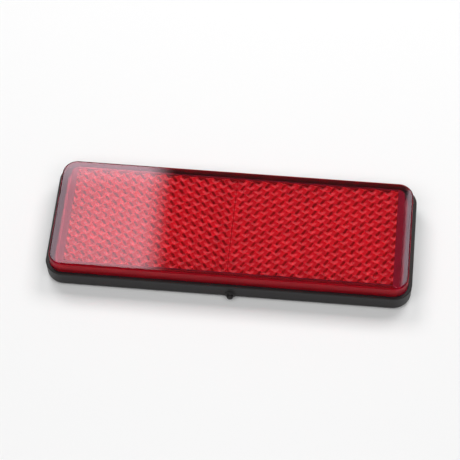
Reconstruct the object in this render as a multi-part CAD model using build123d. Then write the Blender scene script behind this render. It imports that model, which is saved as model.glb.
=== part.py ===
"""A rectangular reflector for a bicycle, trailer or motorcycle, lying on its back.

A red acrylic lens with a field of corner-cube prisms moulded into its rear face is welded into a
shallow black tray, which shuts an air space in behind the prisms. A foam pad in the tray's back
sticks the reflector to a flat place.

Millimetres. X runs along the reflector, Y across it and +Z out of the lens face. The origin is the
middle of the pad's sticking face, so the reflector rests on Z = 0. The gate vestige points to -Y.
"""
from build123d import *
import math
import os

# Housing: the black tray
housing_length = 96.4
housing_width = 35.1
housing_height = 5.3
housing_corner_radius = 5.0
housing_draft = 1.5  # degrees, the outer wall narrows towards the back
housing_wall = 0.9  # the rim round the lens
rim_edge_radius = 0.25
base_edge_radius = 1.2
floor_thickness = 1.6
floor_corner_radius = 0.6  # where the inside wall meets the floor
seat_depth = 1.5  # from the rim down to the ledge that carries the lens
seat_width = 1.5

# Gate vestige: what the sprue left on the tray's long wall
gate_offset = 1.0  # from the middle of the long wall, towards +X
gate_tip_diameter = 1.7
gate_root_flare = 0.6
gate_length = 1.15
gate_height = 1.6  # above the tray's back
gate_sink = 0.8  # into the wall, so that the drafted wall closes round it

# Lens: the red moulding
lens_clearance = 0.1  # all round, in the tray's rim
lens_proud = 3.5  # front face above the rim
lens_edge_radius = 0.5
lens_draft = 1.0  # degrees, the lens narrows towards its front face
lens_plate = 1.3  # solid lens in front of the nearest prism corners
skirt_side = 1.55  # solid border along the two long sides
skirt_end = 2.4  # solid border along the two short sides
end_slope_width = 1.7  # plain band of sloping wall between prisms and border at each end
side_groove_width = 0.4  # air between prisms and border along each long side
skirt_corner_radius = 0.8

# Corner-cube prisms
prism_pitch = 2.5  # across the flats of one hexagon
first_column = 1.0  # from the seam at mid-length to the first column of prism apexes
row_offset = -0.25  # of a row of apexes from the middle of the field

# Adhesive pad
pad_thickness = 1.0
pad_recess = 0.6  # how deep the pad sits in the tray's back
pad_clearance = 0.3
pad_margin = 5.5  # from the tray's outline to the recess
pad_corner_radius = 2.0

back_z = pad_thickness - pad_recess
rim_z = back_z + housing_height
seat_z = rim_z - seat_depth
face_z = rim_z + lens_proud
floor_z = back_z + floor_thickness
rim_gap = housing_wall + lens_clearance
lens_length = housing_length - 2 * rim_gap
lens_width = housing_width - 2 * rim_gap
lens_corner_radius = housing_corner_radius - rim_gap
recess_length = housing_length - 2 * pad_margin
recess_width = housing_width - 2 * pad_margin

# A prism's three square faces meet at right angles. Seen from the front they are three rhombi of one
# hexagon, and going round the hexagon its corners lie one or two steps in front of the apex.
hexagon_side = prism_pitch / math.sqrt(3)
prism_step = prism_pitch / math.sqrt(6)
peak_z = face_z - lens_plate
apex_z = peak_z - 2 * prism_step
field_half_length = lens_length / 2 - skirt_end - end_slope_width
pocket_half_width = lens_width / 2 - skirt_side
field_half_width = pocket_half_width - side_groove_width
HEXAGON = [(1, 0), (0, 1), (-1, 1), (-1, 0), (0, -1), (1, -1)]


def plate(length, width, height, corner_radius, z, draft=0.0):
    """A rounded rectangular slab upwards from z, or downwards where height is negative."""
    outline = Pos(0, 0, z) * RectangleRounded(length, width, corner_radius)
    direction = (0, 0, math.copysign(1, height))
    return extrude(outline, abs(height), dir=direction, taper=draft)


def edges_at(solid, z):
    """The solid's edges that lie flat at height z."""
    return solid.edges().filter_by_position(Axis.Z, z - 1e-4, z + 1e-4)


def prism_corner(column, row, origin):
    """A point of the triangular lattice that every prism corner lies on."""
    x = hexagon_side * (column + row / 2)
    y = hexagon_side * row * math.sqrt(3) / 2
    return origin + Vector(x, y, prism_step * ((column - row) % 3))


def prism_skin(origin, half_length, half_width):
    """The rear face of the prisms left of the seam, as one shell that reaches past the field's edges."""
    reach = 2 * hexagon_side
    last = int((half_length + half_width) / hexagon_side) + 4
    squares = []
    for column in range(-last, last):
        for row in range(-last, last):
            apex = prism_corner(column, row, origin)
            is_apex = (column - row) % 3 == 0
            in_length = -half_length - reach < apex.X < reach
            in_width = abs(apex.Y) < half_width + reach
            if not (is_apex and in_length and in_width):
                continue
            ring = [prism_corner(column + c, row + r, origin) for c, r in HEXAGON]
            for k in (0, 2, 4):
                corners = [apex, ring[k], ring[k + 1], ring[(k + 2) % 6]]
                squares.append(Face(Wire.make_polygon(corners)))
    return Shell(squares)


def prism_air():
    """The air behind the prisms, down to the lens foot: the left half and its mirror image."""
    origin = Vector(-first_column, row_offset, apex_z)
    skin = prism_skin(origin, field_half_length, field_half_width)
    height = face_z - seat_z
    corner = (-field_half_length / 2, 0, seat_z + height / 2)
    block = Pos(*corner) * Box(field_half_length, 2 * field_half_width, height)
    pieces = block.split(skin, keep=Keep.BOTH)
    left = min(pieces, key=lambda piece: piece.center().Z)
    return left + mirror(left, Plane.YZ)


def end_air(side):
    """The air under the sloping band at one end of the prism field."""
    inner = side * field_half_length
    outer = side * (field_half_length + end_slope_width)
    section = Polyline(
        (inner, seat_z), (outer, seat_z), (outer, peak_z - end_slope_width), (inner, peak_z), close=True
    )
    air = extrude(Plane.XZ * make_face(section), pocket_half_width, both=True)
    upright = air.edges().filter_by(Axis.Z).sort_by(lambda edge: side * edge.center().X)[-2:]
    return fillet(upright, skirt_corner_radius)


def side_groove(side):
    """The air between the prism field and the border along one long side."""
    height = peak_z - seat_z
    middle = side * (pocket_half_width + field_half_width) / 2
    return Pos(0, middle, seat_z + height / 2) * Box(2 * field_half_length, side_groove_width, height)


def make_lens():
    """Front plate, prisms and welded skirt in one red moulding."""
    body = plate(lens_length, lens_width, face_z - seat_z, lens_corner_radius, seat_z, lens_draft)
    body = fillet(edges_at(body, face_z), lens_edge_radius)
    pocket = prism_air() + end_air(-1) + end_air(1) + side_groove(-1) + side_groove(1)
    return body - pocket


def gate_vestige():
    """The broken-off sprue: a short round stub with a flared root, pointing to -Y."""
    root = gate_sink
    tip = -gate_length
    tip_radius = gate_tip_diameter / 2
    round_off = tip_radius / 2
    wall_radius = tip_radius + gate_root_flare
    outline = make_face([
        Line((0, root), (wall_radius, root)),
        Line((wall_radius, root), (wall_radius, 0)),
        RadiusArc((wall_radius, 0), (tip_radius, -gate_root_flare), -gate_root_flare),
        Line((tip_radius, -gate_root_flare), (tip_radius, tip + round_off)),
        RadiusArc((tip_radius, tip + round_off), (tip_radius - round_off, tip), round_off),
        Line((tip_radius - round_off, tip), (0, tip)),
        Line((0, tip), (0, root)),
    ])
    stub = revolve(outline, Axis.Y)
    return Pos(gate_offset, -housing_width / 2, back_z + gate_height) * stub


def make_housing():
    """The tray: drafted wall, ledge for the lens, air space and recess for the pad."""
    body = plate(housing_length, housing_width, -housing_height, housing_corner_radius, rim_z, housing_draft)
    body = fillet(edges_at(body, back_z), base_edge_radius)
    body = fillet(edges_at(body, rim_z), rim_edge_radius)
    body += gate_vestige()
    lens_pocket = plate(
        lens_length + 2 * lens_clearance,
        lens_width + 2 * lens_clearance,
        seat_depth,
        lens_corner_radius + lens_clearance,
        seat_z,
    )
    well_inset = 2 * seat_width
    well = plate(
        lens_length - well_inset,
        lens_width - well_inset,
        seat_z - floor_z,
        lens_corner_radius - seat_width,
        floor_z,
    )
    well = fillet(edges_at(well, floor_z), floor_corner_radius)
    pad_pocket = plate(recess_length, recess_width, pad_recess, pad_corner_radius + pad_clearance, back_z)
    return body - lens_pocket - well - pad_pocket


def make_adhesive_pad():
    """Double-sided foam, stuck in the recess and standing proud of the tray's back."""
    length = recess_length - 2 * pad_clearance
    width = recess_width - 2 * pad_clearance
    return plate(length, width, pad_thickness, pad_corner_radius, 0)


nodes = {
    "lens": make_lens(),
    "housing": make_housing(),
    "adhesive_pad": make_adhesive_pad(),
}

os.makedirs("parts", exist_ok=True)
for name, solid in nodes.items():
    solid.label = name
    export_step(solid, f"parts/{name}.step")
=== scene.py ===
"""Looks for the rectangular reflector: clear red acrylic over corner-cube prisms, in a black ABS tray."""
import math
import bpy
from mathutils import Matrix, Vector

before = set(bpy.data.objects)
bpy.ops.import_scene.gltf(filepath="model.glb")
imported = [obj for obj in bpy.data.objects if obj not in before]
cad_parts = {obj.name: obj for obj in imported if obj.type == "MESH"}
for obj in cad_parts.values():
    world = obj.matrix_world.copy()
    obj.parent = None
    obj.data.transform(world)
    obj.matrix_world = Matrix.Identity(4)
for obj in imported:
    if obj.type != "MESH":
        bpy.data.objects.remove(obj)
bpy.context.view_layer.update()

MM = 0.001

# Lens (millimetres)
FACE = 9.2
FOOT = 4.2  # the lens foot, welded to the ledge of the tray
REAR_HALF_LENGTH = 45.7  # the prisms, slopes and inner skirt lie within this box, the weld outside it
REAR_HALF_WIDTH = 15.05
PRISM_TOP = 7.95
PRISM_PITCH = 2.5  # across the flats of one hexagon
COLUMN_PITCH = PRISM_PITCH * math.sqrt(3) / 2
FIRST_COLUMN = 1.0  # from the seam at mid-length to the first column of prism apexes
ROW_OFFSET = -0.25  # of a row of apexes from the middle of the field
SEAM_HALF_WIDTH = 0.07
SAME_HEIGHT = 0.05  # a face this near to the foot's height is part of it

# Faces, told apart by the upright part of their normal: 1 on a level face, 0 on an upright one
FACET_RISE = 0.577  # the three square faces of a corner cube
SLOPE_RISE = 0.707  # the bands at 45 degrees beside the end columns of prisms
SAME_RISE = 0.03
LEVEL_RISE = 0.9
WALL_RISE = (0.4, 0.95)  # a side wall up to the first, no wall from the second
RIM_RISE = (0.96, 0.995)  # the same for the rounded edge and the wall below it together

# Painted light in one prism: deep red, shade and glints (millimetres and degrees, from the middle of its
# pattern)
PATTERN_X = -0.65  # of the pattern's middle from the apex
PATTERN_Y = -1.39
PATTERN_LEAN = 0.383  # towards -Y, for each millimetre below the face
PAINTED_DEEP_RED_PATCH = {"centre": (0.86, -0.99), "angle": 43, "size": (0.50, 0.27)}
PAINTED_SHADE_PATCH = {"centre": (0.00, 0.52), "angle": 124, "size": (1.30, 0.40)}
PAINTED_GLINT_PATCHES = (
    {"centre": (-0.25, -0.58), "angle": -39, "size": (0.85, 0.37)},
    {"centre": (0.56, -0.56), "angle": 24, "size": (0.85, 0.37)},
)
PATCH_FADE = (0.5, 1.25)  # where a patch starts to fade and where it ends, in its own radii
PAINTED_GLINT_SPREAD = (0.7, 1.3)  # strength of the painted glints in a weak prism and in a strong one

# Acrylic (millimetres)
ACRYLIC_IOR = 1.49
FACE_ROUGHNESS = 0.025
WALL_ROUGHNESS = 0.45
WALL_SCATTER = 0.10  # share of the light that the drafted side walls scatter
WAVE_SIZE = 7.0  # from one swell of the moulded face to the next
WAVE_HEIGHT = 0.006
WAVE_DETAIL = 2.0
WAVE_RANGE = (0.3, 0.7)  # most of the noise lies between these

# Housing (millimetres)
ABS_IOR = 1.54
ABS_ROUGHNESS = (0.4, 0.6)
GRAIN_SIZE = 0.25  # drawn a few times coarser than a spark-eroded mould, so that it shows
GRAIN_HEIGHT = 0.012
GRAIN_DETAIL = 1.0
GRAIN_SHINE = 0.3  # 0.5 is a full shine, which the grain swallows in part

# Foam (millimetres)
FOAM_ROUGHNESS = 0.9
CELL_SIZE = 0.5
CELL_DEPTH = 0.12
CELL_REACH = 0.7  # from a cell's middle to its rim, as a share of its size

# Colours, as sRGB hex values
ACRYLIC_RED = "FF5A62"
SHINE_PINK = "FFDCEC"
PRISM_RED = "EC708C"
# painted light of the prisms: a deep-red patch, painted shade and painted glints
PRISM_PAINTED_DEEP_RED = "F00412"
PRISM_PAINTED_SHADE = "900009"
PRISM_PAINTED_GLINT = "FFECF0"
SEAM_RED = "AC1A2B"
SLOPE_RED = "985389"
WALL_RED = "FF2848"
SKIRT_RED = "AC3A58"
GROOVE_RED = "774668"
# painted light: the lens foot and the ledge under it, lighter and bluer than the black tray
WELD_PAINTED_LIGHT = "806090"
HOUSING_BLACK = "141213"
HOUSING_GREY = "1F1C1D"
FOAM_BLACK = "2A2A2C"
FOAM_SHADE = "121213"
FLOOR_WHITE = "F2F2F2"

# Camera: read from the outline and the prism rows in the photograph
CAMERA_TARGET = Vector((-0.4, -2.1, 9.2)) * MM
CAMERA_DISTANCE = 493.1 * MM
CAMERA_AZIMUTH = math.radians(-82.58)
CAMERA_ELEVATION = math.radians(57.56)
CAMERA_ROLL = math.radians(-2.05)
CAMERA_LENS = 146.7
CAMERA_CLIP = 10 * MM
SENSOR_WIDTH = 36.0

# Studio (metres)
WORLD_STRENGTH = 0.16
FLOOR_HALF_SIZE = 3.0
PANEL_SIZE = (0.26, 0.26)
PANEL_RADIANCE = 5.5
PANEL_Y = 0.26
PANEL_HEIGHT = 0.41
PANEL_FADE = 0.001  # width of the soft edge
LEFT_PANEL_EDGE = -0.0648
LEFT_PANEL_TURN = math.radians(3.3)
LEFT_PANEL_FADE = 0.016
RIGHT_PANEL_EDGE = 0.0563
LAMP_SIZE = (0.13, 0.06)
LAMP_RADIANCE = 4.1
LAMP_Y = 0.290
LAMP_HEIGHT = 0.40  # just under the left panel, so that their light adds up
LAMP_FADE = 0.02
FRONT_PANEL_SIZE = (0.60, 0.30)
FRONT_PANEL_RADIANCE = 2.6
FRONT_PANEL_Y = -0.24


def linear(hex_colour):
    """An sRGB hex value as linear red, green, blue and alpha."""
    channels = [int(hex_colour[i:i + 2], 16) / 255 for i in (0, 2, 4)]
    return [c / 12.92 if c <= 0.04045 else ((c + 0.055) / 1.055) ** 2.4 for c in channels] + [1.0]


def add(tree, kind, inputs=None, **properties):
    """Adds a node and returns its outputs. Each input is a value or the output that feeds it."""
    node = tree.nodes.new(kind)
    for name, value in properties.items():
        setattr(node, name, value)
    for name, value in (inputs or {}).items():
        if isinstance(value, bpy.types.NodeSocket):
            tree.links.new(value, node.inputs[name])
        else:
            node.inputs[name].default_value = value
    return node.outputs


def new_material(name):
    """A material with an empty node tree."""
    material = bpy.data.materials.new(name)
    material.use_nodes = True
    material.node_tree.nodes.clear()
    return material, material.node_tree


def measured(tree):
    """The place of a point in millimetres, and the way that its face points."""
    geometry = add(tree, "ShaderNodeNewGeometry")
    metres = {0: geometry["Position"], "Scale": 1 / MM}
    place = add(tree, "ShaderNodeVectorMath", metres, operation="SCALE")[0]
    return place, geometry["True Normal"]


def painted(tree, ground, coats):
    """Lays colours over a ground one after another, each where its mask is 1."""
    # a mix node takes two colours at 6 and 7 and gives one at 2
    for mask, colour in coats:
        ground = add(tree, "ShaderNodeMix", {0: mask, 6: ground, 7: linear(colour)}, data_type="RGBA")[2]
    return ground


def place_in_cell(tree, across, along):
    """Millimetres from the middle of the nearest prism's pattern, the right half mirrored onto the left."""
    mirrored = add(tree, "ShaderNodeMath", {0: across}, operation="ABSOLUTE")[0]
    column = add(tree, "ShaderNodeMath", {0: FIRST_COLUMN - PATTERN_X, 1: mirrored}, operation="SUBTRACT")[0]
    row = add(tree, "ShaderNodeMath", {0: along, 1: ROW_OFFSET + PATTERN_Y}, operation="SUBTRACT")[0]
    lattice = add(tree, "ShaderNodeCombineXYZ", {0: column, 1: row})[0]
    spacing = (2 * COLUMN_PITCH, PRISM_PITCH, 1)
    half = (0.5, 0.5, 0)
    counted = add(tree, "ShaderNodeVectorMath", {0: lattice, 1: spacing}, operation="DIVIDE")[0]
    # every second column stands half a prism higher, so the nearest prism is one of two plain grids
    nearest = []
    for start in (half, (0, 0, 0)):
        moved = add(tree, "ShaderNodeVectorMath", {0: counted, 1: start}, operation="ADD")[0]
        part = add(tree, "ShaderNodeVectorMath", {0: moved}, operation="FRACTION")[0]
        centred = add(tree, "ShaderNodeVectorMath", {0: part, 1: half}, operation="SUBTRACT")[0]
        near = add(tree, "ShaderNodeVectorMath", {0: centred, 1: spacing}, operation="MULTIPLY")[0]
        reach = add(tree, "ShaderNodeVectorMath", {0: near}, operation="LENGTH")["Value"]
        nearest.append((near, reach))
    (first, first_reach), (second, second_reach) = nearest
    is_second = add(tree, "ShaderNodeMath", {0: second_reach, 1: first_reach}, operation="LESS_THAN")[0]
    # a mix node takes two vectors at 4 and 5 and gives one at 1
    return add(tree, "ShaderNodeMix", {0: is_second, 4: first, 5: second}, data_type="VECTOR")[1]


def soft_patch(tree, cell, centre, angle, size):
    """1 at the centre of a turned ellipse in each prism, 0 outside it."""
    placed = add(tree, "ShaderNodeMapping", {
        "Vector": cell,
        "Location": (*centre, 0),
        "Rotation": (0, 0, math.radians(angle)),
        "Scale": (*size, 1),
    }, vector_type="TEXTURE")[0]
    reach = add(tree, "ShaderNodeVectorMath", {0: placed}, operation="LENGTH")["Value"]
    start, end = PATCH_FADE
    fade = {"Value": reach, "From Min": start, "From Max": end, "To Min": 1.0, "To Max": 0.0}
    return add(tree, "ShaderNodeMapRange", fade, interpolation_type="SMOOTHSTEP")[0]


def painted_prism_light(tree, place, painted_glint_strength):
    """The prisms' red, each corner cube's painted light over it (a deep-red patch, painted shade and two
    painted glints), and the seam between the two halves.
    """
    # the painted light leans with its depth below the face, as the light that reaches the prisms through the
    # face does
    depth = add(tree, "ShaderNodeMath", {0: FACE, 1: place["Z"]}, operation="SUBTRACT")[0]
    lean = {0: depth, 1: -PATTERN_LEAN, 2: place["Y"]}
    along = add(tree, "ShaderNodeMath", lean, operation="MULTIPLY_ADD")[0]
    cell = place_in_cell(tree, place["X"], along)
    # over the prisms' red: a painted deep-red patch, painted shade and two painted glints
    coats = [
        (soft_patch(tree, cell, **PAINTED_DEEP_RED_PATCH), PRISM_PAINTED_DEEP_RED),
        (soft_patch(tree, cell, **PAINTED_SHADE_PATCH), PRISM_PAINTED_SHADE),
    ]
    for patch in PAINTED_GLINT_PATCHES:
        shape = soft_patch(tree, cell, **patch)
        bright = add(tree, "ShaderNodeMath", {0: shape, 1: painted_glint_strength}, operation="MULTIPLY")[0]
        coats.append((bright, PRISM_PAINTED_GLINT))
    from_seam = add(tree, "ShaderNodeMath", {0: place["X"]}, operation="ABSOLUTE")[0]
    at_seam = add(tree, "ShaderNodeMath", {0: from_seam, 1: SEAM_HALF_WIDTH}, operation="LESS_THAN")[0]
    coats.append((at_seam, SEAM_RED))
    return painted(tree, linear(PRISM_RED), coats)


def clear_red_acrylic():
    """Moulded PMMA, dyed in the mass: glass-clear and polished by the mould, with its prisms at the back."""
    material, tree = new_material("clear_red_acrylic")
    position, normal = measured(tree)
    place = add(tree, "ShaderNodeSeparateXYZ", {0: position})
    upward = add(tree, "ShaderNodeSeparateXYZ", {0: normal})["Z"]
    rise = add(tree, "ShaderNodeMath", {0: upward}, operation="ABSOLUTE")[0]

    # the rear of the moulding: prisms, sloping ends and the inner faces of the skirt
    end = add(tree, "ShaderNodeMath", {0: place["X"]}, operation="ABSOLUTE")[0]
    side = add(tree, "ShaderNodeMath", {0: place["Y"]}, operation="ABSOLUTE")[0]
    in_ends = add(tree, "ShaderNodeMath", {0: end, 1: REAR_HALF_LENGTH}, operation="LESS_THAN")[0]
    in_sides = add(tree, "ShaderNodeMath", {0: side, 1: REAR_HALF_WIDTH}, operation="LESS_THAN")[0]
    under = add(tree, "ShaderNodeMath", {0: place["Z"], 1: PRISM_TOP}, operation="LESS_THAN")[0]
    inside = add(tree, "ShaderNodeMath", {0: in_ends, 1: in_sides}, operation="MULTIPLY")[0]
    is_rear = add(tree, "ShaderNodeMath", {0: inside, 1: under}, operation="MULTIPLY")[0]
    is_facet = add(tree, "ShaderNodeMath", {0: rise, 1: FACET_RISE, 2: SAME_RISE}, operation="COMPARE")[0]
    is_slope = add(tree, "ShaderNodeMath", {0: rise, 1: SLOPE_RISE, 2: SAME_RISE}, operation="COMPARE")[0]
    level = add(tree, "ShaderNodeMath", {0: rise, 1: LEVEL_RISE}, operation="GREATER_THAN")[0]
    low = add(tree, "ShaderNodeMath", {0: place["Z"], 1: FOOT, 2: SAME_HEIGHT}, operation="COMPARE")[0]
    is_foot = add(tree, "ShaderNodeMath", {0: level, 1: low}, operation="MULTIPLY")[0]

    # the drafted side walls carry the fine grain of the mould, so they blur and scatter part of the light
    sheer = {"Value": rise, "From Min": WALL_RISE[0], "From Max": WALL_RISE[1], "To Min": 1.0, "To Max": 0.0}
    bent = {"Value": rise, "From Min": RIM_RISE[0], "From Max": RIM_RISE[1], "To Min": 1.0, "To Max": 0.0}
    upright = add(tree, "ShaderNodeMapRange", sheer)[0]
    curved = add(tree, "ShaderNodeMapRange", bent)[0]
    outside = add(tree, "ShaderNodeMath", {0: 1.0, 1: is_rear}, operation="SUBTRACT")[0]
    wall = add(tree, "ShaderNodeMath", {0: upright, 1: outside}, operation="MULTIPLY")[0]
    rim = add(tree, "ShaderNodeMath", {0: curved, 1: outside}, operation="MULTIPLY")[0]
    scatter = add(tree, "ShaderNodeMath", {0: wall, 1: WALL_SCATTER}, operation="MULTIPLY")[0]
    opaque = add(tree, "ShaderNodeMath", {0: is_rear, 1: scatter}, operation="MAXIMUM")[0]
    clear = add(tree, "ShaderNodeMath", {0: 1.0, 1: opaque}, operation="SUBTRACT")[0]
    polish = {"Value": rim, "To Min": FACE_ROUGHNESS, "To Max": WALL_ROUGHNESS}
    roughness = add(tree, "ShaderNodeMapRange", polish)[0]
    # tinted to match the photograph: the plain shine of clear acrylic is white
    shine = painted(tree, linear(SHINE_PINK), [(rim, WALL_RED)])

    # the painted glints vary in strength at random from prism to prism, and a moulded face still swells and
    # sinks a little
    pattern = {"Vector": position, "Scale": 1 / WAVE_SIZE, "Detail": WAVE_DETAIL}
    waves = add(tree, "ShaderNodeTexNoise", pattern)[0]
    swell = add(tree, "ShaderNodeBump", {"Height": waves, "Distance": WAVE_HEIGHT * MM})[0]
    painted_glint_strength = add(tree, "ShaderNodeMapRange", {
        "Value": waves,
        "From Min": WAVE_RANGE[0],
        "From Max": WAVE_RANGE[1],
        "To Min": PAINTED_GLINT_SPREAD[0],
        "To Max": PAINTED_GLINT_SPREAD[1],
    })[0]

    prisms = painted_prism_light(tree, place, painted_glint_strength)
    walls = painted(tree, linear(SKIRT_RED), [(level, GROOVE_RED), (is_slope, SLOPE_RED)])
    rear = add(tree, "ShaderNodeMix", {0: is_facet, 6: walls, 7: prisms}, data_type="RGBA")[2]
    # the foot is painted the same lighter, bluer red: painted light for the lens border
    rear = painted(tree, rear, [(is_foot, WELD_PAINTED_LIGHT)])
    outer = painted(tree, linear(ACRYLIC_RED), [(rim, WALL_RED)])
    whole = add(tree, "ShaderNodeMix", {0: is_rear, 6: outer, 7: rear}, data_type="RGBA")[2]

    body = add(tree, "ShaderNodeBsdfPrincipled", {
        "Base Color": whole,
        "Roughness": roughness,
        "IOR": ACRYLIC_IOR,
        "Specular Tint": shine,
        "Transmission Weight": clear,
        "Normal": swell,
    })[0]
    add(tree, "ShaderNodeOutputMaterial", {"Surface": body})
    return material


def black_abs():
    """Injection-moulded ABS: a satin black from the fine spark-eroded grain of the mould."""
    material, tree = new_material("moulded_black_abs")
    position, normal = measured(tree)
    pattern = {"Vector": position, "Scale": 1 / GRAIN_SIZE, "Detail": GRAIN_DETAIL}
    grain = add(tree, "ShaderNodeTexNoise", pattern)[0]
    bump = add(tree, "ShaderNodeBump", {"Height": grain, "Distance": GRAIN_HEIGHT * MM})[0]
    satin = {"Value": grain, "To Min": ABS_ROUGHNESS[0], "To Max": ABS_ROUGHNESS[1]}
    roughness = add(tree, "ShaderNodeMapRange", satin)[0]

    # the lens foot is melted onto the ledge, which is painted lighter and bluer than the black plastic:
    # painted light for the dim glow of the lens border
    height = add(tree, "ShaderNodeSeparateXYZ", {0: position})["Z"]
    rise = add(tree, "ShaderNodeSeparateXYZ", {0: normal})["Z"]
    at_foot = add(tree, "ShaderNodeMath", {0: height, 1: FOOT, 2: SAME_HEIGHT}, operation="COMPARE")[0]
    level = add(tree, "ShaderNodeMath", {0: rise, 1: LEVEL_RISE}, operation="GREATER_THAN")[0]
    is_ledge = add(tree, "ShaderNodeMath", {0: at_foot, 1: level}, operation="MULTIPLY")[0]
    colour = painted(tree, linear(HOUSING_BLACK), [(grain, HOUSING_GREY), (is_ledge, WELD_PAINTED_LIGHT)])

    body = add(tree, "ShaderNodeBsdfPrincipled", {
        "Base Color": colour,
        "Roughness": roughness,
        "IOR": ABS_IOR,
        "Specular IOR Level": GRAIN_SHINE,
        "Normal": bump,
    })[0]
    add(tree, "ShaderNodeOutputMaterial", {"Surface": body})
    return material


def black_foam():
    """Closed-cell polyethylene foam: matt black, with the cut cells showing as small pits."""
    material, tree = new_material("closed_cell_black_foam")
    position, _ = measured(tree)
    cells = add(tree, "ShaderNodeTexVoronoi", {"Vector": position, "Scale": 1 / CELL_SIZE})["Distance"]
    height = add(tree, "ShaderNodeMapRange", {"Value": cells, "From Max": CELL_REACH})[0]
    pits = add(tree, "ShaderNodeBump", {"Height": height, "Distance": CELL_DEPTH * MM})[0]
    # the cells' pits are painted darker than their rims: painted shade
    body = add(tree, "ShaderNodeBsdfPrincipled", {
        "Base Color": painted(tree, linear(FOAM_SHADE), [(height, FOAM_BLACK)]),
        "Roughness": FOAM_ROUGHNESS,
        "Normal": pits,
    })[0]
    add(tree, "ShaderNodeOutputMaterial", {"Surface": body})
    return material


def finish_node(node, material):
    """Gives a node of the frame its material."""
    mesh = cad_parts[node].data
    mesh.materials.clear()
    mesh.materials.append(material)


def place_camera():
    """The photograph's point of view."""
    camera = bpy.data.objects.new("camera", bpy.data.cameras.new("camera"))
    bpy.context.scene.collection.objects.link(camera)
    back = Vector((
        math.cos(CAMERA_ELEVATION) * math.cos(CAMERA_AZIMUTH),
        math.cos(CAMERA_ELEVATION) * math.sin(CAMERA_AZIMUTH),
        math.sin(CAMERA_ELEVATION),
    ))
    camera.location = CAMERA_TARGET + back * CAMERA_DISTANCE
    turned = (-back).to_track_quat("-Z", "Y").to_matrix() @ Matrix.Rotation(CAMERA_ROLL, 3, "Z")
    camera.rotation_mode = "QUATERNION"
    camera.rotation_quaternion = turned.to_quaternion()
    camera.data.lens = CAMERA_LENS
    camera.data.sensor_width = SENSOR_WIDTH
    camera.data.clip_start = CAMERA_CLIP
    bpy.context.scene.camera = camera


def make_floor():
    """A white table top, which keeps the reflector's soft shadow."""
    size = FLOOR_HALF_SIZE
    corners = [(-size, -size, 0), (size, -size, 0), (size, size, 0), (-size, size, 0)]
    mesh = bpy.data.meshes.new("floor")
    mesh.from_pydata(corners, [], [(0, 1, 2, 3)])
    floor = bpy.data.objects.new("floor", mesh)
    bpy.context.scene.collection.objects.link(floor)
    material, tree = new_material("white_floor")
    body = add(tree, "ShaderNodeBsdfDiffuse", {"Color": linear(FLOOR_WHITE)})[0]
    add(tree, "ShaderNodeOutputMaterial", {"Surface": body})
    mesh.materials.append(material)


def light_world():
    """Weak even light from all round."""
    world = bpy.data.worlds.new("studio")
    bpy.context.scene.world = world
    world.use_nodes = True
    tree = world.node_tree
    tree.nodes.clear()
    body = add(tree, "ShaderNodeBackground", {"Color": (1, 1, 1, 1), "Strength": WORLD_STRENGTH})[0]
    add(tree, "ShaderNodeOutputWorld", {"Surface": body})


def soften_edges(light, size, fade):
    """Dims a soft box within the fade's width from its edges, as its cloth does."""
    light.use_nodes = True
    tree = light.node_tree
    tree.nodes.clear()
    middle = (0.5, 0.5, 0)
    place = add(tree, "ShaderNodeNewGeometry")["Parametric"]
    centred = add(tree, "ShaderNodeVectorMath", {0: place, 1: middle}, operation="SUBTRACT")[0]
    outward = add(tree, "ShaderNodeVectorMath", {0: centred}, operation="ABSOLUTE")[0]
    inward = add(tree, "ShaderNodeVectorMath", {0: middle, 1: outward}, operation="SUBTRACT")[0]
    margin = add(tree, "ShaderNodeVectorMath", {0: inward, 1: (*size, 0)}, operation="MULTIPLY")[0]
    margins = add(tree, "ShaderNodeSeparateXYZ", {0: margin})
    nearest = add(tree, "ShaderNodeMath", {0: margins["X"], 1: margins["Y"]}, operation="MINIMUM")[0]
    glow = {"Value": nearest, "From Max": fade}
    strength = add(tree, "ShaderNodeMapRange", glow, interpolation_type="SMOOTHSTEP")[0]
    emission = add(tree, "ShaderNodeEmission", {"Strength": strength})[0]
    add(tree, "ShaderNodeOutputLight", {"Surface": emission})


def place_panel(name, size, radiance, place, turn=0.0, fade=PANEL_FADE):
    """A soft box that hangs level over the reflector."""
    light = bpy.data.lights.new(name, "AREA")
    light.shape = "RECTANGLE"
    light.size, light.size_y = size
    light.energy = radiance * math.pi * size[0] * size[1]
    soften_edges(light, size, fade)
    panel = bpy.data.objects.new(name, light)
    panel.location = place
    panel.rotation_euler = (0, 0, turn)
    bpy.context.scene.collection.objects.link(panel)


def hang_panels():
    """Soft boxes over the reflector.

    The lens mirrors the left one as a milky veil and the right one as a thin strip. The lamp under the
    left one brightens the far part of the veil, and the front one lights the near side.
    """
    left = (LEFT_PANEL_EDGE - PANEL_SIZE[0] / 2, PANEL_Y, PANEL_HEIGHT)
    lamp = (LEFT_PANEL_EDGE - LAMP_SIZE[0] / 2, LAMP_Y, LAMP_HEIGHT)
    right = (RIGHT_PANEL_EDGE + PANEL_SIZE[0] / 2, PANEL_Y, PANEL_HEIGHT)
    front = (0, FRONT_PANEL_Y, PANEL_HEIGHT)
    place_panel("left_panel", PANEL_SIZE, PANEL_RADIANCE, left, LEFT_PANEL_TURN, LEFT_PANEL_FADE)
    place_panel("left_lamp", LAMP_SIZE, LAMP_RADIANCE, lamp, LEFT_PANEL_TURN, LAMP_FADE)
    place_panel("right_panel", PANEL_SIZE, PANEL_RADIANCE, right)
    place_panel("front_panel", FRONT_PANEL_SIZE, FRONT_PANEL_RADIANCE, front)


place_camera()
make_floor()
light_world()
hang_panels()
finish_node("lens", clear_red_acrylic())
finish_node("housing", black_abs())
finish_node("adhesive_pad", black_foam())

# light passes the clear face twice on its way to the camera, so it takes many bounces and no glossy filter
scene = bpy.context.scene
scene.view_settings.view_transform = "Standard"
scene.cycles.max_bounces = 24
scene.cycles.diffuse_bounces = 12
scene.cycles.glossy_bounces = 16
scene.cycles.transmission_bounces = 16
scene.cycles.blur_glossy = 0.0
